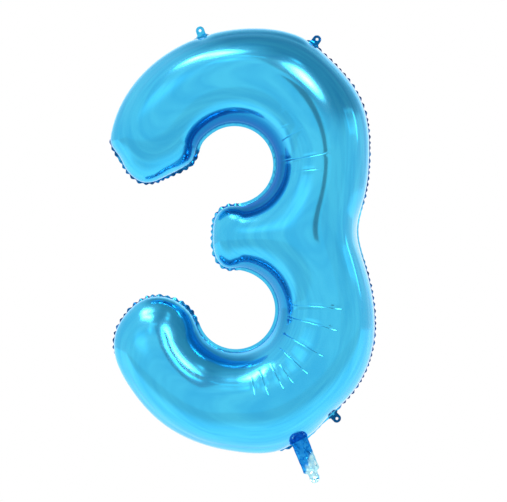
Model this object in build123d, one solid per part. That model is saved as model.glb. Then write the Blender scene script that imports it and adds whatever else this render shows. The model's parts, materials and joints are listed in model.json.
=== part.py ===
"""Foil number balloon in the shape of a 3, inflated.

Two foil films are welded together along a flat seam round the figure, and gas holds them apart. Three
hanging tabs and a filling tail are cut from the same welded margin, and a self-closing valve of two thin
films lies inside the neck.

The figure stands upright. X runs across it, Z is up, and the seam lies in the plane Y = 0, with the front
film on the -Y side. The origin is the centre of the whole balloon's bounding box. Real foil is 0.04 mm
thick; the films here are thicker so that they are sound solids.
"""

from build123d import *
import math
import os

# Driving dimensions, in millimetres and degrees.
FOIL = 1.0  # wall of the two big panels
SEAM_LAYER = 0.5  # each film's share of the flat welded margin
SEAM_WIDTH = 6.0  # welded margin outside the seam line
TAIL_FILM = 0.5
VALVE_FILM = 0.3
VALVE_GAP = 0.1  # from the middle plane to each valve film

FIGURE_AT = (4.0, 30.0)  # where the figure's own centre lies, in X and Z
DEPTH_SHARE = 0.96  # how round the tube is: half its depth over half its width
END_DOME = 92.0  # length over which each stroke's end swells to full depth
PAST_SEAM = 6.0  # degrees by which a rib's arc passes the seam plane before it is cut there

UPPER_HOLE = (-20.5, 155.0, 85.0)  # centre X, centre Z and radius of the seam round each open bowl
LOWER_HOLE = (-18.0, -142.0, 86.5)

# Each outer arc: centre X, centre Z, radius, first angle, last angle.
OUTER_ARCS = (
    (-26.0, 167.0, 250.0, 171.0, 124.0),  # upper left shoulder
    (12.0, 137.0, 294.0, 108.0, 68.0),  # crown
    (28.0, 195.0, 228.0, 52.0, -8.0),  # upper right shoulder
    (401.0, 21.0, 171.0, 156.0, 204.0),  # waist
    (37.0, -172.0, 229.0, 8.0, -38.0),  # lower right shoulder
    (47.0, -278.0, 147.0, -38.0, -66.0),  # lower right corner, where the neck leaves
    (19.0, -114.0, 317.0, -80.0, -112.0),  # base
    (-17.0, -171.0, 250.0, -124.0, -172.0),  # lower left shoulder
)
# Seam points round the blunt end of each stroke, in order along the outline.
LOWER_END = ((-253, -169), (-236, -146), (-210, -124), (-173, -116), (-136, -127), (-109, -150), (-94, -182))
ARM_END = ((-34, -56), (-52, -44), (-62, -18), (-63, 20), (-56, 52), (-36, 68))
UPPER_END = ((-97, 192), (-102, 170), (-127, 148), (-165, 130), (-203, 119), (-240, 145), (-261, 180))

# Hanging tabs: each one's name and a point beside its root. It stands square to the seam line at the
# nearest point.
TABS = (
    ("hanging_tab_upper_left", -86.0, 414.0),
    ("hanging_tab_upper_right", 137.0, 396.0),
    ("hanging_tab_lower_right", 178.0, -354.0),
)
TAB_WIDTH = 19.0
TAB_EYE_AT = 15.5  # from the seam line to the middle of the eyelet
TAB_EYE_RADIUS = 2.5
TAB_GAP = 1.0  # from the margin's edge to the line the tab bends on

TAIL_ROOT = (113.0, -411.0)  # a point beside the tail's root, as for the tabs
TAIL_HEADING = -68.0
TAIL_WIDTH = 37.0
TAIL_BEND_AT = 11.0  # from the seam line to the line the tail folds on
TAIL_LENGTH = 57.0  # from the fold line to the square end
TAIL_SWELL = 3.6  # half thickness of the trapped air in the tail
TAIL_NECK = 0.5  # half height of the air passage where the tail folds
TAIL_MARGIN = 4.0  # welded strip down each side of the tail
TAIL_EYE_AT = 82.0  # from the seam line to the middle of the eyelet, on a lobe beyond the square end
TAIL_EYE_RADIUS = 3.5
TAIL_LOBE_RADIUS = 11.5
NECK_CLEAR = 1.3  # from the neck's end to the fold line
FOLD_CLEAR = 0.2  # from the fold line to the tail's films

VALVE_WIDTH = 26.0
VALVE_ROOT = 9.0  # inside the seam line, where the valve films hinge
VALVE_LENGTH = 118.0


def on_plane(x, z):
    """A point of the seam plane, given from the figure's own centre."""
    return Vector(x + FIGURE_AT[0], 0, z + FIGURE_AT[1])


def heading(angle):
    return Vector(math.cos(math.radians(angle)), 0, math.sin(math.radians(angle)))


def arc_point(arc, angle):
    return on_plane(arc[0], arc[1]) + heading(angle) * arc[2]


def arc_points(arc, first, last, count):
    return [arc_point(arc, first + (last - first) * i / (count - 1)) for i in range(count)]


# ---- The seam line: one closed curve round the figure ----


def seam_points():
    """Points of the seam line, clockwise from the upper left shoulder."""
    points = []
    for arc in OUTER_ARCS:
        points += arc_points(arc, arc[3], arc[4], 3)
    points += [on_plane(*p) for p in LOWER_END]
    points += arc_points(LOWER_HOLE, 222, 450, 9)
    points += [on_plane(*p) for p in ARM_END]
    points += arc_points(UPPER_HOLE, 276, 498, 9)
    points += [on_plane(*p) for p in UPPER_END]
    return points


def offset_curve(curve, distance, count=150):
    """A closed curve outside a clockwise closed one, through points moved along its normals."""
    moved = []
    for i in range(count):
        tangent = curve.tangent_at(i / count)
        moved.append(curve.position_at(i / count) + Vector(-tangent.Z, 0, tangent.X) * distance)
    return Edge.make_spline(moved, periodic=True)


def plate(curve, low_y, high_y):
    """A flat sheet inside a closed curve of the seam plane, between two heights."""
    face = Face(Wire([curve]))
    if face.normal_at().Y < 0:
        face = -face
    return Solid.extrude(face, Vector(0, high_y - low_y, 0)).moved(Location((0, low_y, 0)))


def crossings(outline, start, angle):
    """Distances from start, along a heading, at which the outline is crossed."""
    along, across = heading(angle), heading(angle + 90)
    found = []
    for a, b in zip(outline, outline[1:] + outline[:1]):
        side_a, side_b = (a - start).dot(across), (b - start).dot(across)
        if side_a * side_b < 0:
            share = side_a / (side_a - side_b)
            distance = (a - start).dot(along) * (1 - share) + (b - start).dot(along) * share
            if distance > 0:
                found.append(distance)
    return sorted(found)


# ---- Tubes: smooth lofts through elliptical ribs that span the seam line ----


class Rib:
    """A slice of the inflated tube: its ends on the seam plane and its half depth."""

    def __init__(self, inner, outer, depth):
        self.inner, self.outer, self.depth = inner, outer, depth

    def wire(self, inset):
        across = self.outer - self.inner
        middle = (self.inner + self.outer) * 0.5
        plane = Plane(middle, x_dir=(0, -1, 0), z_dir=across.cross(Vector(0, 1, 0)))
        half_width, half_depth = across.length / 2 - inset, self.depth - inset
        reach = 90 + PAST_SEAM
        arc = Edge.make_ellipse(half_depth, half_width, plane, start_angle=-reach, end_angle=reach)
        return Wire([arc, Edge.make_line(arc @ 1, arc @ 0)])


def tube(ribs, inset=0.0):
    """The front half of the solid through a row of ribs, each made smaller all round by inset."""
    solid = Solid.make_loft([rib.wire(inset) for rib in ribs])
    return solid & Solid.make_box(2000, 1000, 2000).moved(Location((-1000, -1000, -1000)))


def end_wall(rib):
    """A foil-thick wall that closes a tube at a rib, centred on the rib's plane."""
    along = (rib.outer - rib.inner).cross(Vector(0, 1, 0)).normalized()
    middle = (rib.inner + rib.outer) * 0.5 - along * FOIL
    size = (rib.outer - rib.inner).length
    return Solid.extrude(Face.make_rect(size, size, Plane(middle, z_dir=along)), along * 2 * FOIL)


def swelling(half_width, from_end):
    """Half depth of a stroke at a distance from its closed end."""
    share = min(from_end / END_DOME, 1.0)
    return DEPTH_SHARE * half_width * math.sqrt(1 - (1 - share) ** 2)


def fan_rib(outline, hole, angle):
    """A rib on a ray from the middle of a bowl, from its hole to the outer edge."""
    centre = on_plane(hole[0], hole[1])
    near, far = crossings(outline, centre, angle)[:2]
    return Rib(centre + heading(angle) * near, centre + heading(angle) * far, DEPTH_SHARE * (far - near) / 2)


def end_ribs(outline, pivot, rays, end_angle):
    """Ribs that turn about a point beside the stroke's inner corner, closing it down to the blunt end.

    end_angle is the heading of the blunt end.
    """
    ribs = []
    for angle in rays:
        near, far = crossings(outline, pivot, angle)[:2]
        from_end = (near + far) / 2 * math.sin(math.radians(abs(end_angle - angle)))
        ends = pivot + heading(angle) * near, pivot + heading(angle) * far
        ribs.append(Rib(*ends, swelling((far - near) / 2, from_end)))
    return ribs


def main_ribs(outline):
    """Ribs of the long stroke: from the upper end over the crown, down the back, round to the lower end."""
    upper_pivot, lower_pivot = on_plane(-62, 189), on_plane(-62, -178)
    ribs = end_ribs(outline, upper_pivot, (204.5, 202, 197, 189, 179), 206)
    ribs += [fan_rib(outline, UPPER_HOLE, angle) for angle in (153, 133, 111, 89, 67, 45, 23, 3)]
    for z, bridge, depth in ((83, 62, 96), (20, 56, 98), (-58, 64, 99)):
        start = on_plane(bridge, z)
        ribs.append(Rib(start, start + heading(0) * crossings(outline, start, 0)[0], depth))
    ribs += [fan_rib(outline, LOWER_HOLE, angle) for angle in (-3, -23, -45, -67, -89, -111, -131, -149)]
    ribs += end_ribs(outline, lower_pivot, (-177, -187, -196, -202, -206), -208)
    return ribs


def arm_ribs(outline):
    """Ribs of the short middle arm, from its tip into the back of the figure."""
    tip = -63.0
    ribs = []
    for x in (-61.5, -57, -46, -24, 4, 26):
        below = on_plane(x, LOWER_HOLE[1] if x > -40 else -100)
        near, far = crossings(outline, below, 90)[:2]
        half = (far - near) / 2
        depth = swelling(half, 1.35 * (x - tip))
        ribs.append(Rib(below + heading(90) * near, below + heading(90) * far, depth))
    ribs.append(Rib(on_plane(66, -82), on_plane(66, 108), 82))
    ribs.append(Rib(on_plane(120, -54), on_plane(120, 80), 88))
    return ribs


# ---- Local frames of the things cut from the margin ----


def margin_frame(seam, x, z, angle=None):
    """A plane at the seam line's nearest point: x out of the figure, y to the front, z along the seam.

    angle is the heading of its x; with none given it stands square to the seam line.
    """
    steps = 3000
    at = min(range(steps), key=lambda i: (seam.position_at(i / steps) - on_plane(x, z)).length) / steps
    tangent = seam.tangent_at(at)
    out = Vector(-tangent.Z, 0, tangent.X) if angle is None else heading(angle)
    return Plane(seam.position_at(at), x_dir=out, z_dir=out.cross(Vector(0, -1, 0)))


def block(frame, start, end, width, low, high):
    """A box in a margin frame: between two distances out, centred across, between two heights."""
    box = Solid.make_box(end - start, high - low, width)
    return box.moved(frame.location * Location((start, low, -width / 2)))


def disc(frame, at, radius, low, high):
    """A round plate in a margin frame: its distance out, its radius, and its two heights to the front."""
    plate_up = Solid.make_cylinder(radius, high - low, Plane((0, 0, 0)))
    return plate_up.moved(frame.location * Location((at, high, 0), (90, 0, 0)))


def hanging_tab(frame):
    """Both welded films of one tab, with a full round edge on the line it bends on and a round eyelet."""
    bend = SEAM_WIDTH + TAB_GAP
    straight = block(frame, bend, TAB_EYE_AT, TAB_WIDTH, -SEAM_LAYER, SEAM_LAYER)
    lobe = disc(frame, TAB_EYE_AT, TAB_WIDTH / 2, -SEAM_LAYER, SEAM_LAYER)
    lobe -= block(frame, 0, bend, TAB_WIDTH, -TAB_WIDTH, TAB_WIDTH)
    bead = Solid.make_cylinder(SEAM_LAYER, TAB_WIDTH, Plane((0, 0, -TAB_WIDTH / 2)))
    bead = bead.moved(frame.location * Location((bend, 0, 0)))
    return straight + lobe + bead - disc(frame, TAB_EYE_AT, TAB_EYE_RADIUS, -TAB_WIDTH, TAB_WIDTH)


# ---- The two big panels ----


def front_panel(seam, tail, main, arm):
    """The front film: domed wall, its share of the welded margin, and half of the neck."""
    neck_end = TAIL_BEND_AT - NECK_CLEAR
    neck = block(tail, -4, neck_end, TAIL_WIDTH, 0, TAIL_FILM + TAIL_NECK)
    passage = block(tail, -8, neck_end + 1, VALVE_WIDTH + 2, -1, TAIL_NECK)
    margin = plate(offset_curve(seam, SEAM_WIDTH), -SEAM_LAYER, 0)
    outside = tube(main) + tube(arm) + margin + neck
    inside = tube(main, FOIL) - end_wall(main[0]) - end_wall(main[-1])
    inside += tube(arm, FOIL) - end_wall(arm[0])
    return outside - inside - passage


# ---- The tail and the valve ----


def tail_front(frame):
    """Front film of the tail: a pouch with welded sides and an eyelet lobe beyond its open end."""
    root = TAIL_BEND_AT + FOLD_CLEAR
    end = TAIL_BEND_AT + TAIL_LENGTH
    half = TAIL_WIDTH / 2 - TAIL_MARGIN

    def pouch(inset, ends):
        ribs = []
        for at, swell in ends:
            side = frame.z_dir * half
            middle = frame.origin + frame.x_dir * at
            ribs.append(Rib(middle - side, middle + side, swell))
        return tube(ribs, inset)

    thin = TAIL_FILM + TAIL_NECK
    ends = ((root, thin), (root + 16, TAIL_SWELL), (end - 16, TAIL_SWELL), (end - 4, thin))
    strip = block(frame, root, end, TAIL_WIDTH, 0, TAIL_FILM)
    lobe = block(frame, end - 2, TAIL_EYE_AT, 2 * TAIL_LOBE_RADIUS, 0, TAIL_FILM)
    lobe += disc(frame, TAIL_EYE_AT, TAIL_LOBE_RADIUS, 0, TAIL_FILM)
    film = strip + lobe + pouch(0, ends) - pouch(TAIL_FILM, ends)
    return film - disc(frame, TAIL_EYE_AT, TAIL_EYE_RADIUS, -TAIL_WIDTH, TAIL_WIDTH)


def valve_film(frame, start, end):
    """Front film of the valve between two distances out from the seam line; negative is inside the figure."""
    return block(frame, start, end, VALVE_WIDTH, VALVE_GAP, VALVE_GAP + VALVE_FILM)


def to_rear(shape):
    return shape.mirror(Plane.XZ)


def build():
    seam = Edge.make_spline(seam_points(), periodic=True)
    outline = [seam.position_at(i / 600) for i in range(600)]
    neck = margin_frame(seam, *TAIL_ROOT, TAIL_HEADING)
    front = front_panel(seam, neck, main_ribs(outline), arm_ribs(outline))
    tail = tail_front(neck)
    flap = valve_film(neck, -VALVE_ROOT - VALVE_LENGTH, -VALVE_ROOT)
    inlet = valve_film(neck, TAIL_BEND_AT + 3, TAIL_BEND_AT + TAIL_LENGTH - 9)
    parts = {
        "front_panel": front,
        "rear_panel": to_rear(front),
        "tail_front_film": tail,
        "tail_rear_film": to_rear(tail),
        "valve_front_flap": flap,
        "valve_rear_flap": to_rear(flap),
        "valve_inlet_front": inlet,
        "valve_inlet_rear": to_rear(inlet),
    }
    for name, x, z in TABS:
        parts[name] = hanging_tab(margin_frame(seam, x, z))
    return parts


os.makedirs("parts", exist_ok=True)
for node, shape in build().items():
    export_step(shape, f"parts/{node}.step")
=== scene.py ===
"""Looks of the foil number balloon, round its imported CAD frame. Lengths are in metres unless said."""

import json
import math

import bpy
import numpy as np
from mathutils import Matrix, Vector, geometry, kdtree, noise


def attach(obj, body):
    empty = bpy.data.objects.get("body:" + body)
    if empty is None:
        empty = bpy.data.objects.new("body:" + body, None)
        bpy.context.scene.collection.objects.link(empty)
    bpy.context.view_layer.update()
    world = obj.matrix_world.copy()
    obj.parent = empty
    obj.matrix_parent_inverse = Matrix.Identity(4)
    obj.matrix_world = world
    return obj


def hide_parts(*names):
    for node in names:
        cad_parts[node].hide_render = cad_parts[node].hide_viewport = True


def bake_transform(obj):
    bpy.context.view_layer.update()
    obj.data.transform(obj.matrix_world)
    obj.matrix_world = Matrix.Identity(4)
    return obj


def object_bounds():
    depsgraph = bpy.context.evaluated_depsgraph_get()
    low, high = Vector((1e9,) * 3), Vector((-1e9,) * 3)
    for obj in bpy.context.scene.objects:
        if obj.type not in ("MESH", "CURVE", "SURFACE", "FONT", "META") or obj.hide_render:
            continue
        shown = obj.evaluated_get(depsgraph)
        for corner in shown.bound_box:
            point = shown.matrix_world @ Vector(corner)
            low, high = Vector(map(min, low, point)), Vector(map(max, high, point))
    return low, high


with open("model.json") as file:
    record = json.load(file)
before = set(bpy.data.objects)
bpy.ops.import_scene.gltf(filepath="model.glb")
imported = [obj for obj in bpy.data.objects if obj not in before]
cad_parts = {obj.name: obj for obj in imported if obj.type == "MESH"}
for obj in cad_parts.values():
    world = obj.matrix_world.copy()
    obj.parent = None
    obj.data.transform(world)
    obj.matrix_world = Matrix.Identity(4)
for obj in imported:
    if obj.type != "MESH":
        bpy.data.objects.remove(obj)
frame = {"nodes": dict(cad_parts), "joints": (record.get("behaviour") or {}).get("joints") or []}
cad_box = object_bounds()

MM = 0.001
MARGIN = 6.0 * MM  # width of the welded margin outside the seam line
FILM = 0.15 * MM  # from the margin's middle to each of its faces
STEP = 1.4 * MM  # spacing of the points along the seam
SAME_PLACE = 1e-6  # corners of the frame's meshes nearer than this are one point
FLAT = 0.02 * MM  # how far off the middle plane a face of the margin's middle may lie
NECK_CLEAR = 26 * MM  # the margin's edge this near the tail's hinge belongs to the neck
NEARLY_STRAIGHT = 0.008  # 1/m; the seam counts as hollow where it curves inward by more than this
rng = np.random.default_rng(40)

JOINTS = {joint["name"]: joint for joint in frame["joints"]}


# ---- The seam line, read from the frame ----


def margin_edge(node, hinge):
    """The margin's outer edge as an open line of (x, z) points, from one side of the neck to the other."""
    mesh = frame["nodes"][node].data
    co = np.empty(len(mesh.vertices) * 3)
    mesh.vertices.foreach_get("co", co)
    co = co.reshape(-1, 3)
    places = np.round(co / SAME_PLACE).astype(np.int64)
    _, first, index = np.unique(places, axis=0, return_index=True, return_inverse=True)
    index = index.ravel()
    sides = {}
    for poly in mesh.polygons:
        if all(abs(co[v][1]) < FLAT for v in poly.vertices):
            ids = [index[v] for v in poly.vertices]
            for a, b in zip(ids, ids[1:] + ids[:1]):
                sides[frozenset((a, b))] = sides.get(frozenset((a, b)), 0) + 1
    links = {}
    for a, b in (tuple(side) for side, uses in sides.items() if uses == 1):
        links.setdefault(a, []).append(b)
        links.setdefault(b, []).append(a)
    start = max(links, key=lambda v: co[first[v]][2])
    line, here, previous = [start], links[start][0], start
    while here != start:
        line.append(here)
        here, previous = next(v for v in links[here] if v != previous), here
    loop = co[first[line]][:, [0, 2]]
    far = np.linalg.norm(loop - hinge, axis=1) > NECK_CLEAR
    cut = int(np.argmin(far))
    loop, far = np.roll(loop, -cut, axis=0), np.roll(far, -cut)
    ends = np.flatnonzero(np.diff(far.astype(int)))
    runs = [loop[a + 1 : b + 1] for a, b in zip(ends[::2], [*ends[1::2], len(loop) - 1])]
    return max(runs, key=lambda run: np.ptp(run, axis=0).sum())


def closed_curve(points, spacing):
    """Evenly spaced points on a smooth closed curve through the given ones, anticlockwise from the front."""
    n = len(points)
    dense = []
    for i in range(n):
        p0, p1, p2, p3 = (points[(i + k - 1) % n] for k in range(4))
        gaps = [max(np.linalg.norm(b - a), 1e-9) ** 0.5 for a, b in ((p0, p1), (p1, p2), (p2, p3))]
        t0, t1 = 0.0, gaps[0]
        t2, t3 = t1 + gaps[1], t1 + gaps[1] + gaps[2]
        t = np.linspace(t1, t2, 16, endpoint=False)[:, None]
        a1 = (t1 - t) / (t1 - t0) * p0 + (t - t0) / (t1 - t0) * p1
        a2 = (t2 - t) / (t2 - t1) * p1 + (t - t1) / (t2 - t1) * p2
        a3 = (t3 - t) / (t3 - t2) * p2 + (t - t2) / (t3 - t2) * p3
        b1 = (t2 - t) / (t2 - t0) * a1 + (t - t0) / (t2 - t0) * a2
        b2 = (t3 - t) / (t3 - t1) * a2 + (t - t1) / (t3 - t1) * a3
        dense.append((t2 - t) / (t2 - t1) * b1 + (t - t1) / (t2 - t1) * b2)
    dense = np.concatenate(dense)
    area = np.sum(dense[:, 0] * np.roll(dense[:, 1], -1) - dense[:, 1] * np.roll(dense[:, 0], -1))
    if area < 0:
        dense = dense[::-1]
    return even(dense, spacing)


def even(points, spacing):
    """A closed line's points set out again at an even spacing."""
    loop = np.vstack([points, points[:1]])
    along = np.concatenate([[0], np.cumsum(np.linalg.norm(np.diff(loop, axis=0), axis=1))])
    count = int(round(along[-1] / spacing))
    at = np.linspace(0, along[-1], count, endpoint=False)
    return np.stack([np.interp(at, along, loop[:, 0]), np.interp(at, along, loop[:, 1])], 1)


def blur(values, sigma):
    """A closed row of values, blurred by a Gaussian of sigma samples."""
    n = len(values)
    freq = np.fft.fftfreq(n) * 2 * np.pi
    kernel = np.exp(-0.5 * (freq * sigma) ** 2)
    shaped = kernel[:, None] if np.ndim(values) == 2 else kernel
    return np.real(np.fft.ifft(np.fft.fft(values, axis=0) * shaped, axis=0))


def outward(points):
    """Unit normals out of an anticlockwise closed curve."""
    tangent = np.roll(points, -1, axis=0) - np.roll(points, 1, axis=0)
    tangent /= np.linalg.norm(tangent, axis=1)[:, None]
    return np.stack([tangent[:, 1], -tangent[:, 0]], 1)


hinge_place = np.array(JOINTS["tail_fold"]["pos_m"])[[0, 2]]
edge = closed_curve(margin_edge("front_panel", hinge_place), STEP)
edge = blur(edge, 3.0)
seam = even(edge - outward(edge) * MARGIN, STEP)
COUNT = len(seam)
normal = outward(seam)
heading = np.unwrap(np.arctan2(normal[:, 1], normal[:, 0]))
turn = (np.roll(heading, -1) - np.roll(heading, 1) + np.pi) % (2 * np.pi) - np.pi
bend = blur(turn / (2 * STEP), 5.0)  # curvature, positive where the outline is convex
facing = np.degrees(np.arctan2(normal[:, 1], normal[:, 0])) % 360


def fit_circle(points):
    """Centre and radius of the circle nearest to some points."""
    a = np.column_stack([2 * points, np.ones(len(points))])
    solution = np.linalg.lstsq(a, (points**2).sum(1), rcond=None)[0]
    centre = solution[:2]
    return centre, math.sqrt(solution[2] + centre @ centre)


def bowls():
    """The two open bowls of the figure, upper first: centre and radius of the seam round each."""
    hollow = bend < -NEARLY_STRAIGHT
    start = int(np.argmax(~hollow))
    found, run = [], []
    for k in range(COUNT + 1):
        i = (start + k) % COUNT
        if hollow[i] and k < COUNT:
            run.append(i)
        elif run:
            found.append(run)
            run = []
    found = sorted(found, key=len)[-2:]
    circles = [fit_circle(seam[run[20:-20]]) for run in found]  # without the ends, where it straightens
    return sorted(circles, key=lambda c: -c[0][1])


UPPER, LOWER = bowls()


def nearest_index(point):
    """Index of the seam's point nearest to a flat point."""
    return int(np.argmin(((seam - np.array(point)) ** 2).sum(1)))


def hinge_at(name):
    """Index on the seam beside a joint, its place, and the direction out of the figure there."""
    joint = JOINTS[name]
    place, axis = np.array(joint["pos_m"]), np.array(joint["axis"])
    i = nearest_index(place[[0, 2]])
    out = np.cross(axis, (0, 1, 0))
    if out[[0, 2]] @ normal[i] < 0:
        out = -out
    return i, place, out / np.linalg.norm(out)


TAIL = hinge_at("tail_fold")
TABS = {
    name: hinge_at(name + "_bend")
    for name in ("hanging_tab_upper_left", "hanging_tab_upper_right", "hanging_tab_lower_right")
}


TAIL_OUT = np.array(TAIL[2])[[0, 2]]
TAIL_ACROSS = np.array([-TAIL_OUT[1], TAIL_OUT[0]])
TAIL_BEND_AT = 11 * MM  # from the seam to the line the tail folds on
TAIL_ROOT = np.array(TAIL[1])[[0, 2]] - TAIL_OUT * TAIL_BEND_AT


def in_tail_frame(points):
    """Flat points as distances out from the seam along the tail, and across it."""
    gap = points - TAIL_ROOT
    return gap @ TAIL_OUT, gap @ TAIL_ACROSS


def ring_gap(i, j):
    """Distance along the seam between two of its points."""
    gap = np.abs(np.asarray(i) - j)
    return np.minimum(gap, COUNT - gap) * STEP


def ramp(x, low, high):
    """0 where x is at low or under, 1 where it is at high or over, smooth between."""
    t = np.clip((x - low) / (high - low), 0, 1)
    return t * t * (3 - 2 * t)


def wander(points, scale, seed, octaves=1):
    """Smooth noise of about -1 to 1 with the given grain, in metres."""
    result = np.zeros(len(points))
    for k in range(octaves):
        offset = Vector((seed * 7.3 + k, seed * 3.1, seed * 1.7))
        result += [noise.noise(Vector(p) / (scale / 2**k) + offset) / 2**k for p in points]
    return result


# ---- How the seam behaves along its length ----

# Each of these rows has one value for each point of the seam, and most run from 0 to 1.
every = np.arange(COUNT)
off_tabs = np.ones(COUNT)
for i, _, _ in TABS.values():
    off_tabs *= 1 - np.exp(-((ring_gap(every, i) / (15 * MM)) ** 2))
off_tail = 1 - np.exp(-((ring_gap(every, TAIL[0]) / (22 * MM)) ** 2))

convex = ramp(blur(bend, 6.0), -2.0, 3.0)
upper_outer = (seam[:, 1] > 0.2) & (facing > 52) & (facing < 184)
lower_outer = (seam[:, 1] < -0.2) & (facing > 176) & (facing < 288)
outer_left = (seam[:, 0] < 0.19) & (upper_outer | lower_outer)
outer_right = (seam[:, 0] > 0.12) & ~outer_left
lean = blur(np.where(outer_left, 1.0, 0.0), 9.0) * off_tabs * off_tail
folded = np.radians(72) * lean
pucker = convex * (0.35 + 0.65 * (1 - lean)) * off_tail * (0.4 + 0.6 * off_tabs)
to_tab = (TABS["hanging_tab_lower_right"][0] - TAIL[0] + COUNT // 2) % COUNT - COUNT // 2
quiet_at = (TAIL[0] + to_tab // 2) % COUNT
quiet = np.exp(-((ring_gap(every, quiet_at) / (34 * MM)) ** 4))
pucker = blur(np.where(outer_right, pucker * 0.9, pucker) * (1 - 0.85 * quiet), 4.0)
hollow = ramp(blur(-bend, 10.0), 1.0, 7.0)
# How much painted shade each part of the seam gives the bowls' walls, standing in for the dark they reflect:
# less where the outline is convex, less in the lower bowl and least at its lower right.
bowl_wall_shade = np.zeros(COUNT)
for centre, radius in (UPPER, LOWER):
    off_circle = np.abs(np.linalg.norm(seam - centre, axis=1) - radius)
    bowl_wall_shade = np.maximum(bowl_wall_shade, (1 - ramp(off_circle, 5 * MM, 22 * MM)) * (1 - 0.6 * convex))
from_lower = np.degrees(np.arctan2(*(seam - LOWER[0])[:, ::-1].T))
bowl_wall_shade *= 1 - 0.75 * np.exp(-(((from_lower + 55) / 38) ** 2)) * (seam[:, 1] < -0.02)
bowl_wall_shade *= 1 - 0.35 * ramp(-seam[:, 1], -0.02, 0.02)
bowl_wall_shade = blur(bowl_wall_shade, 8.0)
free_end = blur(convex * (seam[:, 0] < -0.13) * (1 - lean), 9.0)
arm_tip = blur(np.where((np.abs(seam[:, 1] - 0.03) < 0.075) & (seam[:, 0] < 0.0), 1.0, 0.0), 8.0)
terminal = np.clip(free_end - arm_tip, 0, 1)
# Where the margin on top of the lower end gets less painted shade, so its lobes stay pale.
lower_top = (facing > 55) & (facing < 125) & (seam[:, 0] < -0.1) & (seam[:, 1] < 0.0)
pale_lobes = blur(np.where(lower_top, 1.0, 0.0), 6.0)
overhang = blur(convex, 8.0) * (1.2 + 2.4 * lean + 3.0 * terminal + 2.6 * arm_tip) * MM
tucked = blur(np.where(outer_right, 1.0, 0.0), 9.0) * off_tabs * off_tail
folded = folded + np.radians(42) * terminal + np.radians(38) * arm_tip + np.radians(57) * tucked


def scallops(pitch, spread):
    """Gathers of uneven length along the seam: how far each sample is into its own, which, and how many."""
    total = COUNT * STEP
    count = int(total / pitch)
    cuts = np.cumsum(1 + spread * rng.uniform(-1, 1, count))
    cuts = np.concatenate([[0], cuts / cuts[-1] * total])
    at = every * STEP
    k = np.searchsorted(cuts, at, side="right") - 1
    return (at - cuts[k]) / (cuts[k + 1] - cuts[k]), k, count


share, lobe, lobes = scallops(13.5 * MM, 0.28)
size = rng.uniform(0.65, 1.25, lobes)[lobe]
pillow = (np.clip(1 - (2 * share - 1) ** 2, 0, 1) ** 0.6 - 0.6) * size
wave = np.cos(2 * np.pi * share) * rng.uniform(0.5, 1.1, lobes)[lobe]
wave = blur(wave, 1.5)
tooth = blur((1 - np.abs(2 * share - 1)) ** 1.1 * size, 0.9)  # a pointed outer edge for each gather


# ---- Flat mesh of the figure inside the seam ----


def inside_rows(outline, pitch):
    """Points of a triangular lattice inside a closed outline."""
    low, high = outline.min(0), outline.max(0)
    after = np.roll(outline, -1, axis=0)
    points = []
    rows = int((high[1] - low[1]) / (pitch * 0.866))
    for r in range(rows + 1):
        z = low[1] + r * pitch * 0.866 + 0.1 * pitch
        crossing = (outline[:, 1] > z) != (after[:, 1] > z)
        a, b = outline[crossing], after[crossing]
        xs = np.sort(a[:, 0] + (z - a[:, 1]) / (b[:, 1] - a[:, 1]) * (b[:, 0] - a[:, 0]))
        for x0, x1 in zip(xs[::2], xs[1::2]):
            k0 = math.ceil((x0 - low[0]) / pitch - 0.5 * (r % 2))
            k1 = math.floor((x1 - low[0]) / pitch - 0.5 * (r % 2))
            x = low[0] + (np.arange(k0, k1 + 1) + 0.5 * (r % 2)) * pitch
            points.append(np.stack([x, np.full(len(x), z)], 1))
    return np.concatenate(points)


def tree_of(points):
    """A search tree over flat points."""
    tree = kdtree.KDTree(len(points))
    for i, p in enumerate(points):
        tree.insert((p[0], p[1], 0), i)
    tree.balance()
    return tree


def gap_to(tree, points):
    """Distance from each flat point to the nearest one in a search tree."""
    return np.array([tree.find((p[0], p[1], 0))[2] for p in points])


def triangulate(points, loops):
    """Triangles inside closed loops of point numbers: points, triangles, and old numbers (-1 if new)."""
    edges = [(loop[i], loop[(i + 1) % len(loop)]) for loop in loops for i in range(len(loop))]
    made = geometry.delaunay_2d_cdt([Vector(p) for p in points], edges, [], 1, 1e-9)
    coords = np.array([tuple(v) for v in made[0]])
    faces = np.array([f for f in made[2] if len(f) == 3])
    first = np.array([o[0] if o else -1 for o in made[3]])
    a, b, c = (coords[faces[:, k]] for k in range(3))
    area = (b[:, 0] - a[:, 0]) * (c[:, 1] - a[:, 1]) - (b[:, 1] - a[:, 1]) * (c[:, 0] - a[:, 0])
    faces[area < 0] = faces[area < 0][:, ::-1]
    return coords, faces[np.abs(area) > 1e-12], first


# Creases that fan out from each bowl. A row has the bowl (0 is the upper one), the angles in degrees and
# then the distances from the seam in mm where the crease starts and ends, and its depth in mm.
CREASES = (
    (0, 3.3, 6.1, 10, 101, 1.7),
    (0, -7.5, -4.2, 30, 78, 1.1),
    (0, 26.0, 27.0, 21, 62, 1.4),
    (0, 37.0, 35.5, 26, 44, 0.9),
    (0, 47.0, 46.5, 43, 57, 0.8),
    (1, 5.3, 1.1, 21, 112, 1.5),
    (1, -7.3, -10.7, 13, 103, 1.6),
    (1, -25.7, -27.2, 18, 93, 1.6),
    (1, -39.7, -40.7, 23, 87, 1.6),
    (1, -50.2, -51.0, 42, 80, 1.3),
    (1, -56.8, -58.0, 34, 80, 1.2),
    (1, -67.7, -68.3, 33, 78, 1.1),
    (1, -75.8, -76.9, 40, 69, 1.0),
)
CREASE_ROWS = (-3.4, -1.9, -0.9, -0.35, 0.0, 0.35, 0.9, 1.9, 3.4)  # mm to each side, where the mesh has rows


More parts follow.
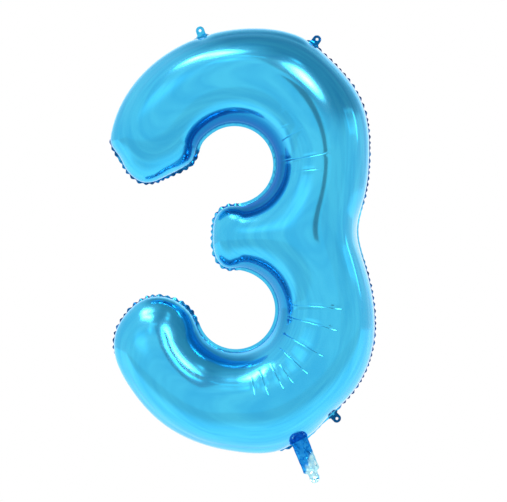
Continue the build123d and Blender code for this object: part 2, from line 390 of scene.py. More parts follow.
def crease_line(crease, count):
    """Points along a crease, its unit sideways direction, and each point's share of the length."""
    (centre, radius), t = (UPPER, LOWER)[crease[0]], np.linspace(0, 1, count)
    angle = np.radians(crease[1] + (crease[2] - crease[1]) * t)
    reach = radius + (crease[3] + (crease[4] - crease[3]) * t) * MM
    points = centre + np.stack([np.cos(angle), np.sin(angle)], 1) * reach[:, None]
    along = points[-1] - points[0]
    along /= np.linalg.norm(along)
    return points, np.array([-along[1], along[0]]), t


RINGS = (0.0, 0.12, 0.45, 1.0, 1.9, 3.2, 5.0, 7.4, 10.4)  # mm in from the seam
PITCH = 2.9 * MM
FINE_PITCH = 1.5 * MM  # the same in the neck


def near_neck(points, reach, half):
    """Which flat points lie at the neck: no further in than reach, and no further across than half."""
    out, across = in_tail_frame(points)
    return (out > -reach) & (np.abs(across) < half)


def figure_mesh():
    """The flat mesh: points, triangles, and for each point its number on the seam or -1."""
    points = []
    for k, depth in enumerate(RINGS):
        ring = seam - normal * depth * MM
        points.append(ring if k < 6 else ring[::2])  # the inner rings need fewer points
    lattice = inside_rows(seam, PITCH)
    tree = tree_of(seam)
    lattice = lattice[gap_to(tree, lattice) > (RINGS[-1] + 1.8) * MM]
    for crease in CREASES:
        line, _, _ = crease_line(crease, 40)
        gap = np.linalg.norm(lattice[:, None] - line[None], axis=2).min(1)
        lattice = lattice[gap > 5.0 * MM]
    lattice = lattice[~near_neck(lattice, 41 * MM, 25 * MM)]
    fine = inside_rows(seam, FINE_PITCH)
    fine = fine[near_neck(fine, 40 * MM, 24 * MM)]
    fine = fine[gap_to(tree, fine) > (RINGS[-1] + 1.2) * MM]
    points += [lattice, fine]
    for crease in CREASES:
        count = int((crease[4] - crease[3]) / 1.8)
        line, side, _ = crease_line(crease, count)
        points += [line + side * row * MM for row in CREASE_ROWS]
    coords, faces, first = triangulate(np.concatenate(points), [list(range(COUNT))])
    return coords, faces, np.where(first < COUNT, first, -1)


def weights_of(coords, faces):
    """Stiffness edges (i, j, weight) and lumped areas of a flat triangle mesh."""
    area2 = np.zeros(len(faces))
    rows = []
    for k in range(3):
        a, b, c = (coords[faces[:, (k + m) % 3]] for m in range(3))
        u, v = a - c, b - c
        cross = u[:, 0] * v[:, 1] - u[:, 1] * v[:, 0]
        area2 = np.abs(cross)
        cot = (u * v).sum(1) / np.maximum(np.abs(cross), 1e-15)
        rows.append((faces[:, k], faces[:, (k + 1) % 3], 0.5 * cot))
    i, j, w = (np.concatenate([r[m] for r in rows]) for m in range(3))
    lumped = np.bincount(faces.ravel(), np.repeat(area2 / 6, 3), len(coords))
    return i, j, w, lumped


def swell(coords, faces, held, guess):
    """Solves the soap-film equation on the flat mesh: zero where held, pushed evenly elsewhere."""
    i, j, w, load = weights_of(coords, faces)
    n = len(coords)
    diagonal = np.bincount(i, w, n) + np.bincount(j, w, n)
    free = ~held

    def apply(x):
        y = diagonal * x - np.bincount(i, w * x[j], n) - np.bincount(j, w * x[i], n)
        return y * free

    x = guess * free
    r = (load - apply(x)) * free
    z = r / diagonal
    p, rz = z.copy(), r @ z
    target = 1e-9 * math.sqrt(load @ load)
    for _ in range(2500):
        q = apply(p)
        step = rz / (p @ q)
        x += step * p
        r -= step * q
        if math.sqrt(r @ r) < target:
            break
        z = r / diagonal
        rz, before = r @ z, rz
        p = z + rz / before * p
    return x


def seam_place(coords):
    """For each flat point: position along the seam in samples (a float) and distance in from it."""
    tree = tree_of(seam)
    at = np.array([tree.find((p[0], p[1], 0))[1] for p in coords])
    best_at, best_gap = np.zeros(len(coords)), np.full(len(coords), 9.0)
    for back in (-1, 0):
        a = (at + back) % COUNT
        p, q = seam[a], seam[(a + 1) % COUNT]
        t = np.clip(((coords - p) * (q - p)).sum(1) / ((q - p) ** 2).sum(1), 0, 1)
        gap = np.linalg.norm(coords - p - t[:, None] * (q - p), axis=1)
        better = gap < best_gap
        best_at[better], best_gap[better] = (a + t)[better], gap[better]
    return best_at, best_gap


def along_seam(values, at):
    """A row of values on the seam, read at float positions."""
    low = np.floor(at).astype(int) % COUNT
    t = at - np.floor(at)
    if values.ndim == 2:
        t = t[:, None]
    return values[low] * (1 - t) + values[(low + 1) % COUNT] * t


TUBE_HALF = 90 * MM  # half the width of the figure's strokes
FULLNESS = 0.955  # height of the film as a share of the soap-film solution's

coords, faces, on_seam = figure_mesh()
at, depth = seam_place(coords)
at[on_seam >= 0], depth[on_seam >= 0] = on_seam[on_seam >= 0], 0.0
guess = (2 * TUBE_HALF * depth - depth**2).clip(0) / 2
film = swell(coords, faces, on_seam >= 0, guess)
height = FULLNESS * np.sqrt(2 * film.clip(0))
height *= 1 - 0.30 * along_seam(hollow, at) * np.exp(-depth / (9 * MM))  # it rises less steeply in the bowls

NECK_HALF = 17.5 * MM
NECK_TOP = 37 * MM  # how far up the panel the neck's dent reaches

inward, across = in_tail_frame(coords)
inward = -inward
reach_up = np.clip((inward - 15 * MM) / (NECK_TOP - 15 * MM), 0, 9)
in_neck = ramp(1 - np.hypot(across / NECK_HALF, reach_up), -0.02, 0.13) * (inward > -9 * MM)
neck_seeds = np.column_stack([inward * 0.6, across, np.zeros(len(inward))])
neck_grain = in_neck.copy()
neck_grain[in_neck > 0] = wander(neck_seeds[in_neck > 0], 8 * MM, 41, 2)
dented = np.minimum(height, 4 * MM + 1.9 * np.maximum(inward, 0) + 3.0 * MM * neck_grain)


def leaning_out():
    """How the crest of the film leans away from the bowls: a flat shift for each point, none at the seam."""
    shift, total = np.zeros_like(coords), np.zeros(len(coords))
    for (centre, radius), lean_out, more_at_left in ((UPPER, 12 * MM, 0.0), (LOWER, 22 * MM, 11 * MM)):
        gap = coords - centre
        far = np.linalg.norm(gap, axis=1)
        share = np.exp(-np.maximum(far - radius, 0) / (45 * MM))
        extra = more_at_left * ramp(-gap[:, 0], 0.0, 60 * MM)
        shift += gap / far[:, None] * (share * (lean_out + extra))[:, None]
        total += share
    return shift / total[:, None] * ((height / height.max()) ** 2)[:, None]


def vertex_normals(points, triangles):
    """Unit normals at the points of a triangle mesh, averaged over the triangles by area."""
    a, b, c = (points[triangles[:, k]] for k in range(3))
    face = np.cross(b - a, c - a)
    total = np.zeros_like(points)
    for k in range(3):
        for m in range(3):
            total[:, m] += np.bincount(triangles[:, k], face[:, m], len(points))
    return total / np.maximum(np.linalg.norm(total, axis=1), 1e-15)[:, None]


def crease_lift(side):
    """How far the creases raise or sink each point of one film; the rear film has fewer of them."""
    lift = np.zeros(len(coords))
    for number, crease in enumerate(CREASES):
        if side > 0 and number % 3 == 1:
            continue
        line, sideways, t = crease_line(crease, 60)
        reach = (crease[4] - crease[3]) * 0.5 * MM + 12 * MM
        near = np.flatnonzero(np.linalg.norm(coords - line.mean(0), axis=1) < reach)
        gap = coords[near][:, None] - line[None]
        best = np.argmin((gap**2).sum(2), axis=1)
        nearest = gap[np.arange(len(near)), best]
        offset = (nearest * sideways).sum(1)
        beyond = np.linalg.norm(nearest, axis=1) - np.abs(offset)
        fade = np.sin(np.pi * np.clip(0.06 + 0.94 * t[best], 0, 1)) ** 0.55
        fade = fade * np.exp(-((np.maximum(beyond, 0) / (2.5 * MM)) ** 2))
        fold = np.exp(-((np.abs(offset) / (0.9 * MM)) ** 1.3))
        shoulders = np.exp(-((offset / (4.2 * MM)) ** 2))
        lift[near] += crease[5] * MM * 1.05 * (0.75 * shoulders - fold) * fade
    return lift


def panel_points(side):
    """Points of one film: side is -1 for the front and 1 for the rear."""
    out = along_seam(normal, at)
    out /= np.linalg.norm(out, axis=1)[:, None]
    bulge = along_seam(overhang, at) * np.sin(np.pi * np.clip(height / (48 * MM), 0, 1))
    tall = height + (dented - height) * in_neck
    flat = coords + leaning_out() + out * bulge[:, None]
    points = np.column_stack([flat[:, 0], side * tall, flat[:, 1]])
    up = vertex_normals(points, faces) * -side
    up[:, 1] = np.where(up[:, 1] * side < 0, -up[:, 1], up[:, 1])

    run = TUBE_HALF * np.arccos(np.clip(1 - depth / TUBE_HALF, -1, 1))  # distance up the film from the seam
    gather = along_seam(pucker, at)
    lobes_here = along_seam(pillow, at)
    lift = 1.5 * MM * gather * lobes_here * np.exp(-((run / (17 * MM)) ** 1.2))
    lift += crease_lift(side)
    calm = ramp(depth, 4 * MM, 22 * MM)
    lift += calm * 0.45 * MM * wander(points, 0.085, 3 + side)
    grain = np.column_stack([coords / 9, height**2 / height.max() + 0.3 * side])
    lift += calm * 0.13 * MM * wander(grain, 15 * MM, 5, 2)
    points = points + up * lift[:, None]
    points[:, 1] += along_seam(wave * pucker, at) * 1.1 * MM * np.exp(-run / (14 * MM))
    return points


MARGIN_STEPS = (0.0, 0.12, 0.4, 0.7, 0.9, 1.0)


def margin_points(root, side):
    """Rows of the welded margin's points, going out from the seam, on one face of it."""
    reach = MARGIN * (1.0 - 0.18 * pucker * (1 - arm_tip) + (0.40 - 0.14 * arm_tip) * tooth * pucker)
    out = np.column_stack([normal[:, 0], np.zeros(COUNT), normal[:, 1]])
    y = np.array([0.0, 1.0, 0.0])
    away = np.cos(folded)[:, None] * out + np.sin(folded)[:, None] * y
    across = -np.sin(folded)[:, None] * out + np.cos(folded)[:, None] * y
    ripple = wave * (0.25 + pucker) * off_tabs * off_tail
    rows = []
    for share_out in MARGIN_STEPS:
        bent = 1.7 * MM * ripple * share_out**1.1
        thickness = side * FILM * min(1.0, share_out * 6) * (1 - 0.7 * (share_out == 1.0))
        rows.append(root + away * (reach * share_out)[:, None] + across * (bent + thickness)[:, None])
    return rows


def painted_panel_shade():
    """Painted shade on the films: how far their blue deepens inside the figure, in the walls of the bowls and
    in the neck's dent.
    """
    wall = along_seam(bowl_wall_shade, at) * ramp(depth, -3.0 * MM, 4.0 * MM) * (1 - ramp(depth, 10 * MM, 27 * MM))
    neck = in_neck * (0.72 - 0.15 * ramp(inward, 2 * MM, 30 * MM) + 0.4 * neck_grain)
    return np.clip(0.92 * wall + neck, 0, 2)


def painted_margin_shade():
    """Painted shade along the margin: patchy dark lobes where it is puckered, and dark beside the tail."""
    patchy = np.clip(0.45 + 0.8 * rng.uniform(0, 1, lobes), 0, 1)[lobe]
    patchy = patchy * np.where(np.abs(share - 0.5) < 0.42, 1, 0.4)
    paler = (1 - 0.75 * lean) * (1 - 0.85 * arm_tip) * (1 - 0.7 * pale_lobes)
    scalloped = blur(1.9 * np.clip(pucker * 1.35, 0, 1) * paler * patchy, 1.2)
    return np.maximum(scalloped, 1.1 * (1 - off_tail) ** 3)


def panel(name, side, material):
    """One film of the figure with its share of the margin."""
    points = panel_points(side)
    order = np.empty(COUNT, int)
    order[on_seam[on_seam >= 0]] = np.flatnonzero(on_seam >= 0)
    rows = margin_points(points[order], side)
    verts, tris = [points], [faces if side < 0 else faces[:, ::-1]]
    # Painted shade: the film's from the bowls and the neck, the margin's from its lobes and beside the tail.
    painted_shade, painted_dark = [painted_panel_shade()], painted_margin_shade()
    inner = order
    base = len(points)
    following = np.roll(every, -1)
    for row in rows[1:]:
        outer = base + every
        quad_a = np.column_stack([inner, outer, outer[following]])
        quad_b = np.column_stack([inner, outer[following], inner[following]])
        strip = np.concatenate([quad_a, quad_b])
        tris.append(strip if side < 0 else strip[:, ::-1])
        verts.append(row)
        painted_shade.append(painted_dark)
        inner, base = outer, base + COUNT
    piece = mesh_piece(name, np.concatenate(verts), np.concatenate(tris), material, np.concatenate(painted_shade))
    flow = np.concatenate(verts)
    flow[: len(points), 1] = 13 * height**2 / height.max()
    set_attribute(piece.data, "flow", flow)
    return piece


def set_attribute(mesh, name, values):
    """Stores a number or a vector for each vertex."""
    values = np.asarray(values, np.float32)
    kind, key = ("FLOAT_VECTOR", "vector") if values.ndim == 2 else ("FLOAT", "value")
    attribute = mesh.attributes.get(name) or mesh.attributes.new(name, kind, "POINT")
    attribute.data.foreach_set(key, values.ravel())


def mesh_piece(name, verts, tris, material, painted_shade=None):
    """A smooth piece from points and triangles; a foil piece also stores its painted shade, how far its blue
    is deepened.
    """
    mesh = bpy.data.meshes.new(name)
    mesh.vertices.add(len(verts))
    mesh.vertices.foreach_set("co", np.asarray(verts, np.float32).ravel())
    mesh.loops.add(len(tris) * 3)
    mesh.loops.foreach_set("vertex_index", np.asarray(tris, np.int32).ravel())
    mesh.polygons.add(len(tris))
    mesh.polygons.foreach_set("loop_start", np.arange(0, len(tris) * 3, 3, dtype=np.int32))
    mesh.polygons.foreach_set("loop_total", np.full(len(tris), 3, np.int32))
    mesh.polygons.foreach_set("use_smooth", np.ones(len(tris), bool))
    mesh.update(calc_edges=True)
    mesh.validate()
    if painted_shade is not None:
        set_attribute(mesh, "painted_shade", painted_shade)
        set_attribute(mesh, "flow", verts)
    obj = bpy.data.objects.new(name, mesh)
    bpy.context.scene.collection.objects.link(obj)
    mesh.materials.append(material)
    return obj


# ---- The tail ----

TAIL_END = 68 * MM  # where the straight part of the tail ends, from the seam
TAIL_HALF = 18.0 * MM
TAIL_WELD = 3.0 * MM  # width of the flat weld down each side
EYE_AT = 82 * MM
EYE_RADIUS = 3.5 * MM
LOBE_RADIUS = 11.0 * MM
TAIL_START = -3.0 * MM


def arc(centre, radius, start, end, count):
    """Points on an arc between two angles in degrees."""
    t = np.radians(np.linspace(start, end, count))
    return np.stack([centre[0] + radius * np.cos(t), centre[1] + radius * np.sin(t)], 1)


def dense_line(corners, spacing):
    """Closed outline through corners with points at most spacing apart."""
    points = []
    for a, b in zip(corners, np.roll(corners, -1, axis=0)):
        count = max(1, int(np.linalg.norm(b - a) / spacing))
        points.append(a + (b - a) * np.arange(count)[:, None] / count)
    return np.concatenate(points)


def sheet(outline, hole, pitch):
    """Triangles of a flat sheet with a round hole: points and triangles."""
    loops = [outline, hole]
    inner = inside_rows(outline, pitch)
    near = tree_of(np.concatenate(loops))
    away = gap_to(near, inner)
    centre = hole.mean(0)
    radius = np.linalg.norm(hole[0] - centre)
    inner = inner[(away > 0.6 * pitch) & (np.linalg.norm(inner - centre, axis=1) > radius)]
    points = np.concatenate([outline, hole, inner])
    numbers = [list(range(len(outline))), list(range(len(outline), len(outline) + len(hole)))]
    flat, tris, _ = triangulate(points, numbers)
    on_rim = np.linalg.norm(flat - centre, axis=1) < 1.02 * radius
    return flat, tris[~on_rim[tris].all(axis=1)]  # one with all its corners on the rim would cover the hole


def tail_outline():
    """The edge of one tail film: straight sides, a square end with cut corners, and the eyelet lobe."""
    lobe = arc((EYE_AT, 0.0), LOBE_RADIUS, -112, 112, 40)
    corners = [(TAIL_START, -TAIL_HALF), (TAIL_END - 2 * MM, -TAIL_HALF), (TAIL_END, -TAIL_HALF + 2.5 * MM)]
    corners += [(TAIL_END + 2.5 * MM, -LOBE_RADIUS), *lobe, (TAIL_END + 2.5 * MM, LOBE_RADIUS)]
    corners += [(TAIL_END, TAIL_HALF - 2.5 * MM), (TAIL_END - 2 * MM, TAIL_HALF), (TAIL_START, TAIL_HALF)]
    return dense_line(np.array(corners), 1.1 * MM)


def tail_points(flat, side):
    """Points of one tail film in the frame: flat places become a crumpled pouch."""
    out, over = flat[:, 0], flat[:, 1]
    share = np.clip(out / TAIL_END, 0, 1)
    inside = np.clip((TAIL_HALF - TAIL_WELD - np.abs(over)) / (TAIL_HALF - TAIL_WELD), 0, 1)
    gas = 4.6 * MM * (1 - 0.55 * share) * inside**0.55 * (1 - ramp(out, TAIL_END - 12 * MM, TAIL_END))
    seeds = np.column_stack([out * 0.8, over, np.zeros(len(out))])
    crumple = 0.34 + 0.76 * ramp(out + 0.6 * over, 8 * MM, 52 * MM)
    ridged = 1 - 2 * np.abs(wander(seeds, 17 * MM, 11)) + 0.6 * (1 - 2 * np.abs(wander(seeds, 8 * MM, 12)))
    common = (0.3 + 1.5 * crumple) * MM * wander(seeds, 20 * MM, 15, 2)
    common += 2.5 * MM * share**2 * np.sin(over / TAIL_HALF * 1.7 + 0.6)
    own = (0.3 + 1.7 * crumple) * MM * ridged * inside**0.35
    narrow = 1 - 0.05 * crumple
    y = side * (0.15 * MM + gas + np.maximum(own, 0)) + common * ramp(out, 2 * MM, 14 * MM)
    ripple = 0.5 * MM * crumple * wander(seeds, 9 * MM, 17, 2)
    place = TAIL_ROOT + out[:, None] * TAIL_OUT + (over * narrow + ripple)[:, None] * TAIL_ACROSS
    return np.column_stack([place[:, 0], y, place[:, 1]])


def tail_film(name, side, node, material):
    """One film of the tail, worn pale towards its end."""
    flat, tris = sheet(tail_outline(), arc((EYE_AT, 0.0), EYE_RADIUS, 0, 350, 28), 1.15 * MM)
    points = tail_points(flat, side)
    grain = wander(np.column_stack([flat, np.zeros(len(flat))]), 13 * MM, 21 + side, 2)
    pale = ramp(flat[:, 0] + 1.15 * flat[:, 1] + 9 * MM * grain, 43 * MM, 55 * MM)
    seeds = np.column_stack([flat[:, 0] * 0.7, flat[:, 1], np.zeros(len(flat))])
    # Thin painted fold lines, which darken the blue part and make the pale part less pale.
    painted_fold_lines = np.exp(-((wander(seeds, 10 * MM, 25 + side, 2) / 0.09) ** 2))
    # Painted shade in the blue part, deepest near the root, none where the film is pale.
    blue = (0.9 - 0.2 * ramp(flat[:, 0], 0, 30 * MM)) * (1 - pale)
    painted_shade = np.clip(blue + 0.4 * grain + 0.6 * painted_fold_lines, 0, 1.7)
    piece = mesh_piece(name, points, tris[:, ::-1] if side > 0 else tris, material, painted_shade)
    # Worn pale towards the end, with painted shade along the fold lines.
    worn_and_fold_shade = np.clip(pale * (0.85 + 0.5 * grain - 0.45 * painted_fold_lines), 0, 1)
    set_attribute(piece.data, "worn_and_fold_shade", worn_and_fold_shade)
    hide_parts(node)
    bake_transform(piece)
    return piece


# ---- The hanging tabs ----

TAB_HALF = 8.8 * MM
TAB_EYE = 15.5 * MM  # from the seam to the eyelet
TAB_HINGE = 7.0 * MM  # from the seam to the line a tab bends on
TAB_THICK = 0.28 * MM  # half the thickness of a tab


def closed_sheet(face, tris, thickness):
    """A face, its copy set back by a thickness, and walls round their rims: points and triangles."""
    count = len(face)
    sides = np.sort(np.concatenate([tris[:, [0, 1]], tris[:, [1, 2]], tris[:, [2, 0]]]), axis=1)
    pairs, uses = np.unique(sides, axis=0, return_counts=True)
    rim = {tuple(pair) for pair in pairs[uses == 1]}
    walls = []
    for tri in tris:
        for a, b in zip(tri, np.roll(tri, -1)):
            if (min(a, b), max(a, b)) in rim:
                walls += [(b, a, a + count), (b, a + count, b + count)]
    all_tris = np.concatenate([tris, tris[:, ::-1] + count, np.array(walls)])
    return np.concatenate([face, face + (0, thickness, 0)]), all_tris


def tab_piece(name, curl, painted_dark, material):
    """A hanging tab: both welded films, with a flared foot, a slight curl, a round eyelet and the painted
    shade it is given.
    """
    _, place, out3 = TABS[name]
    out = out3[[0, 2]]
    across = np.array([-out[1], out[0]])
    root = place[[0, 2]] - out * TAB_HINGE
    foot = 3.6 * MM
    lobe = arc((TAB_EYE, 0.0), TAB_HALF, -90, 90, 26)
    flare = 3.0 * MM
    foot_low = arc((foot + flare + 2 * MM, -TAB_HALF - flare), flare, 180, 90, 7)
    foot_high = foot_low[::-1] * (1, -1)
    corners = [(foot, -TAB_HALF - flare), *foot_low, *lobe, *foot_high, (foot, TAB_HALF + flare)]
    hole = arc((TAB_EYE + 0.4 * MM, 0.0), 2.9 * MM, 0, 345, 24)
    flat, tris = sheet(dense_line(np.array(corners), 1.0 * MM), hole, 1.1 * MM)
    far, over = flat[:, 0] - foot, flat[:, 1]
    seeds = np.column_stack([flat, np.full(len(flat), 0.01 * (curl + 2))])
    y = curl * 3.2 * MM * (far / (20 * MM)) ** 1.6 + 0.9 * MM * np.sin(over / TAB_HALF * 1.4 + curl)
    y += 0.5 * MM * wander(seeds, 8 * MM, 31, 2)
    y *= ramp(far, 0.0, 5 * MM)
    spot = root + flat[:, :1] * out + over[:, None] * across
    front = np.column_stack([spot[:, 0], y - TAB_THICK, spot[:, 1]])
    verts, all_tris = closed_sheet(front, tris, 2 * TAB_THICK)
    # Painted shade for the whole tab, a little patchy.
    painted_shade = np.tile(np.clip(painted_dark + 0.25 * wander(seeds, 6 * MM, 33), 0, 2), 2)
    piece = mesh_piece(name + "_foil", verts, all_tris, material, painted_shade)
    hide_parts(name)
    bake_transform(piece)
    return piece


# ---- Materials ----


class Graph:
    """Small helper that writes sums and products as shader nodes; a value is a number or a node's output."""

    def __init__(self, tree):
        self.nodes, self.links = tree.nodes, tree.links

    def put(self, socket, value):
        """Links a node's output to a socket, or sets the socket to a number or a colour."""
        if hasattr(value, "is_linked"):
            self.links.new(value, socket)
        else:
            socket.default_value = value

    def node(self, kind, output=0, **values):
        """One output of a new node with some of its inputs set; an underscore stands for a space."""
        node = self.nodes.new("ShaderNode" + kind)
        for key, value in values.items():
            self.put(node.inputs[key.replace("_", " ")], value)
        return node.outputs[output]

    def math(self, operation, a, b=0.0):
        """One arithmetic operation."""
        node = self.nodes.new("ShaderNodeMath")
        node.operation = operation
        self.put(node.inputs[0], a)
        self.put(node.inputs[1], b)
        return node.outputs[0]

    def add(self, *values):
        """The sum of some values."""
        total = values[0]
        for value in values[1:]:
            total = self.math("ADD", total, value)
        return total

    def mul(self, *values):
        """The product of some values."""
        total = values[0]
        for value in values[1:]:
            total = self.math("MULTIPLY", total, value)
        return total

    def step(self, x, low, high):
        """0 where x is at low, 1 where it is at high, smooth between."""
        node = self.nodes.new("ShaderNodeMapRange")
        node.interpolation_type = "SMOOTHSTEP"
        self.put(node.inputs["Value"], x)
        if low < high:
            self.put(node.inputs["From Min"], low)
            self.put(node.inputs["From Max"], high)
            return node.outputs["Result"]
        self.put(node.inputs["From Min"], high)
        self.put(node.inputs["From Max"], low)
        return self.math("SUBTRACT", 1.0, node.outputs["Result"])

    def blend(self, a, b, share):
        """From a to b as the share goes from 0 to 1."""
        return self.add(self.mul(a, self.math("SUBTRACT", 1.0, share)), self.mul(b, share))

    def dot(self, vector, fixed):
        """A node vector's dot product with a fixed one."""
        node = self.nodes.new("ShaderNodeVectorMath")
        node.operation = "DOT_PRODUCT"
        self.put(node.inputs[0], vector)
        node.inputs[1].default_value = tuple(fixed)
        return node.outputs["Value"]

    def attribute(self, name, output="Fac"):
        """A value stored on the mesh's vertices."""
        node = self.nodes.new("ShaderNodeAttribute")
        node.attribute_name = name
        return node.outputs[output]

    def noise(self, place, scale, **inputs):
        """Smooth noise read at a place."""
        return self.node("TexNoise", "Fac", Vector=place, Scale=scale, **inputs)

    def spread(self, value, low, high, **ends):
        """Straight from low where the value is 0 to high where it is 1, unless other ends are given."""
        return self.node("MapRange", "Result", Value=value, To_Min=low, To_Max=high, **ends)

    def mix(self, a, b, share):
        """From colour a to colour b as the share goes from 0 to 1."""
        node = self.nodes.new("ShaderNodeMix")
        node.data_type = "RGBA"
        self.put(node.inputs["Factor"], share)
        self.put(node.inputs["A"], a)
        self.put(node.inputs["B"], b)
        return node.outputs["Result"]


def new_material(name):
    """A new material, its graph and its shader."""
    material = bpy.data.materials.new(name)
    material.use_nodes = True
    return material, Graph(material.node_tree), material.node_tree.nodes["Principled BSDF"]


def set_inputs(graph, shader, **inputs):
    """Puts values into a shader's inputs; an underscore stands for a space."""
    for name, value in inputs.items():
        graph.put(shader.inputs[name.replace("_", " ")], value)


BLACK = (0, 0, 0, 1)
NAVY = (0.0, 0.05, 0.16, 1)  # painted shade past the foil's shaded blue
WORN = (0.50, 0.86, 0.93, 1)  # foil rubbed pale
FOIL_TINT = (0.026, 0.50, 0.83)
STREAK_ENDS = ((0.36, (0.6, 0.90, 0.96)), (0.66, (1.6, 1.11, 1.04)))  # noise value, and gain on each channel


def foil_material(name, shaded_blue, rough):
    """Metallised film in streaky blue, deepened by painted shade, and pale where it is worn, less so along
    painted fold lines.
    """
    material, graph, shader = new_material(name)
    place = graph.node("TexCoord", "Object")
    painted_shade = graph.attribute("painted_shade")
    flow = graph.attribute("flow", "Vector")
    streaks = graph.nodes.new("ShaderNodeValToRGB")
    graph.put(streaks.inputs["Fac"], graph.noise(flow, 7.5, Detail=3.0, Roughness=0.55, Distortion=0.3))
    for end, (at, gains) in zip(streaks.color_ramp.elements, STREAK_ENDS):
        end.position = at
        end.color = (*(part * gain for part, gain in zip(FOIL_TINT, gains)), 1)
    # Painted shade deepens the blue towards the shaded blue as it goes from 0 to 1, and on to navy from 1 to
    # 2.
    blue = graph.mix(streaks.outputs["Color"], (*shaded_blue, 1), painted_shade)
    blue = graph.mix(blue, NAVY, graph.spread(painted_shade, 0.0, 1.0, From_Min=1.0, From_Max=2.0))
    crinkle = graph.noise(place, 160.0, Detail=3.0)
    set_inputs(
        graph,
        shader,
        Base_Color=graph.mix(blue, WORN, graph.attribute("worn_and_fold_shade")),
        Metallic=1.0,
        Roughness=graph.spread(graph.noise(place, 22.0, Detail=4.0), rough * 0.8, rough * 1.3),
        Normal=graph.node("Bump", "Normal", Height=crinkle, Strength=0.05, Distance=0.4 * MM),
        # Painted shade also thins the coat and turns the edge tint blue, so the shaded foil shows no pale
        # rim.
        Coat_Weight=graph.spread(painted_shade, 0.8, 0.1),
        Coat_Roughness=0.22,
        Coat_IOR=1.5,
        Specular_Tint=graph.mix((0.60, 0.82, 1.0, 1), (0.0, 0.36, 0.62, 1), painted_shade),
    )
    return material


def clear_material(name):
    """Clear, slightly hazy plastic film."""
    material, graph, shader = new_material(name)
    haze = graph.noise(graph.node("TexCoord", "Object"), 60.0)
    set_inputs(
        graph,
        shader,
        Base_Color=(0.85, 0.9, 0.93, 1),
        Alpha=0.45,
        Roughness=graph.spread(haze, 0.15, 0.4),
        Normal=graph.node("Bump", "Normal", Height=haze, Strength=0.2, Distance=0.2 * MM),
    )
    return material


foil = foil_material("blue_foil", (0.0, 0.155, 0.43), 0.11)
tail_foil = foil_material("crumpled_blue_foil", (0.0, 0.19, 0.68), 0.13)
clear = clear_material("clear_valve_film")

front = panel("front_foil", -1, foil)
rear = panel("rear_foil", 1, foil)
for piece, node in ((front, "front_panel"), (rear, "rear_panel")):
    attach(piece, "envelope")
    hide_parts(node)

for node in ("valve_front_flap", "valve_rear_flap", "valve_inlet_front", "valve_inlet_rear"):
    frame["nodes"][node].data.materials.clear()
    frame["nodes"][node].data.materials.append(clear)
tail_film("tail_front_foil", -1, "tail_front_film", tail_foil)
tail_film("tail_rear_foil", 1, "tail_rear_film", tail_foil)
# Each tab's curl and painted shade: the two on the right are painted dark, the upper left one not.
for name, curl, painted_dark in (
    ("hanging_tab_upper_left", -1.0, 0.0),
    ("hanging_tab_upper_right", 0.7, 1.4),
    ("hanging_tab_lower_right", 0.9, 1.7),
):
    tab_piece(name, curl, painted_dark, foil)


# ---- Stage, light and camera ----


def toward(turn, rise):
    """Unit direction: turn degrees from the camera towards the picture's right, rise degrees up."""
    turn, rise = math.radians(turn), math.radians(rise)
    return Vector((math.sin(turn) * math.cos(rise), -math.cos(turn) * math.cos(rise), math.sin(rise)))


def card(graph, direction, turn, rise, half_wide, half_tall, soft):
    """How much a direction sees of a rectangle far away; half sizes and soft edge are tangents of angles."""
    centre = toward(turn, rise)
    wide = centre.cross(Vector((0, 0, 1))).normalized()
    tall = wide.cross(centre).normalized()
    ahead = graph.dot(direction, centre)
    front = graph.step(ahead, 0.02, 0.1)
    ahead = graph.math("MAXIMUM", ahead, 0.05)
    across = graph.math("ABSOLUTE", graph.math("DIVIDE", graph.dot(direction, wide), ahead))
    up = graph.math("ABSOLUTE", graph.math("DIVIDE", graph.dot(direction, tall), ahead))
    mask_wide = graph.step(across, half_wide + soft, half_wide - soft)
    mask_tall = graph.step(up, half_tall + soft, half_tall - soft)
    return graph.mul(front, mask_wide, mask_tall)


# Cards that the foil reflects. A row has turn and rise in degrees, then half the width, half the height
# and the soft edge as tangents of angles, then strength. The row of negative strength darkens the one above.
CARDS = (
    (-38, 57, 0.25, 0.07, 0.14, 22.0),  # left soft box
    (25, 32, 0.12, 0.15, 0.12, 20.0),  # right soft box
    (38, 51, 0.06, 0.05, 0.10, 3.0),  # small spot above it
    (-38, 57, 0.25, 0.08, 0.45, 1.1),  # glow round the left soft box
    (27, 38, 0.15, 0.20, 0.42, 1.4),  # glow round the right soft box
    (-13, 37, 0.08, 0.06, 0.12, 1.6),  # patch between the soft boxes
    (-6, 45, 0.14, 0.006, 0.012, 3.0),  # thin level line by the ceiling's edge
    (22, 22, 0.012, 0.07, 0.02, 2.0),  # short upright line below the right soft box
    (-37, 21, 0.32, 0.22, 0.22, 0.40),  # wide pale patch at the left
    (84, 17, 0.26, 0.13, 0.02, 0.45),  # window
    (84, 17, 0.21, 0.09, 0.03, -0.3),  # its darker middle
    (96, 14, 0.03, 0.13, 0.02, 2.5),  # its bright far edge
)


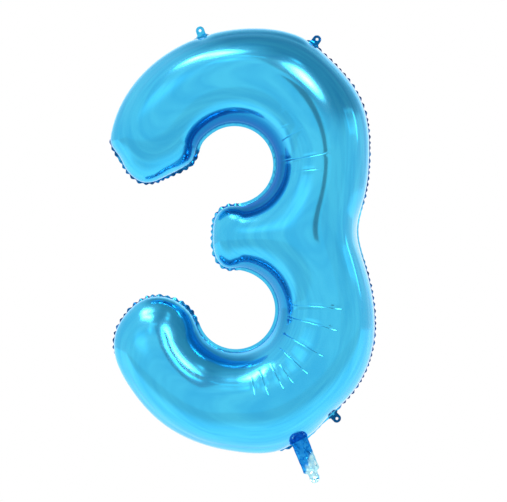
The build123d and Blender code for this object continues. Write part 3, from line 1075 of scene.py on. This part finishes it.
def studio_world():
    """A white studio as the foil sees it: grey ceiling, side panel and cards. The camera sees it white."""
    world = bpy.data.worlds.new("studio")
    bpy.context.scene.world = world
    world.use_nodes = True
    graph = Graph(world.node_tree)
    direction = graph.node("TexCoord")
    axes = graph.nodes.new("ShaderNodeSeparateXYZ")
    graph.links.new(direction, axes.inputs[0])
    right, away, up = axes.outputs

    # The ceiling has a sharp edge that slopes down to the right, and gets greyer to the right and overhead.
    edge_line = graph.add(up, graph.mul(1.78, right))
    above = graph.step(edge_line, 0.59, 0.63)
    right_side = graph.blend(0.92, 0.46, graph.step(up, 0.05, 0.42))
    ceiling = graph.blend(0.78, right_side, graph.step(right, -0.15, 0.22))
    level = graph.blend(1.0, ceiling, above)
    overhead = graph.mul(graph.step(up, 0.40, 0.70), graph.step(away, -0.45, 0.08))
    overhead = graph.mul(overhead, graph.step(right, -0.60, -0.12))
    level = graph.blend(level, 0.46, overhead)
    level = graph.blend(level, 1.0, graph.step(away, 0.30, 0.75))
    side_panel = graph.mul(graph.step(right, 0.80, 0.86), graph.step(up, 0.36, 0.24))
    side_panel = graph.mul(side_panel, graph.step(away, 0.8, 0.4))
    level = graph.blend(level, 0.95, side_panel)
    for *place, strength in CARDS:
        mask = card(graph, direction, *place)
        level = graph.add(level, graph.mul(strength, mask, mask))
    seen = graph.node("LightPath")
    level = graph.blend(level, 1.0, seen)
    background = world.node_tree.nodes["Background"]
    graph.put(background.inputs["Strength"], level)
    bright = graph.step(level, 0.4, 1.0)
    mixed = graph.nodes.new("ShaderNodeCombineColor")
    for socket, dim in zip(mixed.inputs, (0.62, 0.92, 1.06)):  # its dim parts are bluer
        graph.put(socket, graph.blend(dim, 1.0, bright))
    graph.put(background.inputs["Color"], mixed.outputs[0])


def paper_material():
    """Paper that glows: white to the camera, and to the foil greyer in front of the figure than behind it."""
    material, graph, shader = new_material("pale_paper")
    axes = graph.nodes.new("ShaderNodeSeparateXYZ")
    graph.put(axes.inputs[0], graph.node("TexCoord", "Object"))
    set_inputs(graph, shader, Base_Color=BLACK, Roughness=1.0, Specular_IOR_Level=0.0)
    graph.put(shader.inputs["Emission Color"], (1, 1, 1, 1))
    level = graph.blend(0.88, 1.28, graph.step(axes.outputs[1], -0.85, -0.22))
    level = graph.blend(1.0, level, graph.step(axes.outputs[1], -2.4, -1.7))
    level = graph.blend(level, 1.0, graph.node("LightPath"))
    graph.put(shader.inputs["Emission Strength"], level)
    return material


def dark_flag():
    """A tall grey card in front of the figure, only for the foil to reflect; the camera doesn't see it."""
    left, right, y = 0.20, 0.31, -0.95
    low, high = 0.01, 0.56
    corners = [(left, y, low), (right, y, low), (right, y, high), (left - 0.08, y, high + 0.06)]
    material, graph, shader = new_material("grey_card")
    set_inputs(graph, shader, Base_Color=BLACK, Emission_Color=(0.9, 0.97, 1.0, 1), Emission_Strength=0.36)
    flag = mesh_piece("flag", corners, [(0, 1, 2), (0, 2, 3)], material)
    flag.visible_camera = False
    flag.visible_shadow = False
    flag.visible_diffuse = False


FLOOR_FRONT = -2.4  # y of the floor's front edge
FLOOR_BACK = 5.6  # y where the floor starts to curve up
FLOOR_DROP = 0.25  # how far the floor lies under the figure
SWEEP_RADIUS = 0.9
BACKDROP_TOP = 7.0  # above the floor
STAGE_HALF = 7  # half the stage's width


def sweep_stage():
    """A pale floor that curves up into a pale backdrop."""
    profile = [(FLOOR_FRONT, 0.0), (FLOOR_BACK, 0.0)]
    for a in np.linspace(0.1, math.pi / 2, 12):
        profile.append((FLOOR_BACK + SWEEP_RADIUS * math.sin(a), SWEEP_RADIUS - SWEEP_RADIUS * math.cos(a)))
    profile.append((FLOOR_BACK + SWEEP_RADIUS, BACKDROP_TOP))
    floor_z = cad_box[0][2] - FLOOR_DROP
    verts, tris = [], []
    for y, z in profile:
        verts += [(-STAGE_HALF, y, z + floor_z), (STAGE_HALF, y, z + floor_z)]
    for k in range(len(profile) - 1):
        a = 2 * k
        tris += [(a, a + 1, a + 3), (a, a + 3, a + 2)]
    floor = mesh_piece("floor", verts, tris, paper_material())


sweep_stage()
dark_flag()
studio_world()

camera_data = bpy.data.cameras.new("camera")
camera_data.lens = 135
camera_data.sensor_width = 36
camera = bpy.data.objects.new("camera", camera_data)
PICTURE_WIDTH = 1.038  # width seen at the seam's plane
PICTURE_CENTRE = (0.0222, 0.0084)  # x and z
distance = PICTURE_WIDTH * camera_data.lens / camera_data.sensor_width
camera.location = (PICTURE_CENTRE[0], -distance, PICTURE_CENTRE[1])
camera.rotation_euler = (math.pi / 2, 0, 0)
bpy.context.scene.collection.objects.link(camera)
bpy.context.scene.camera = camera

bpy.context.scene.view_settings.view_transform = "Standard"
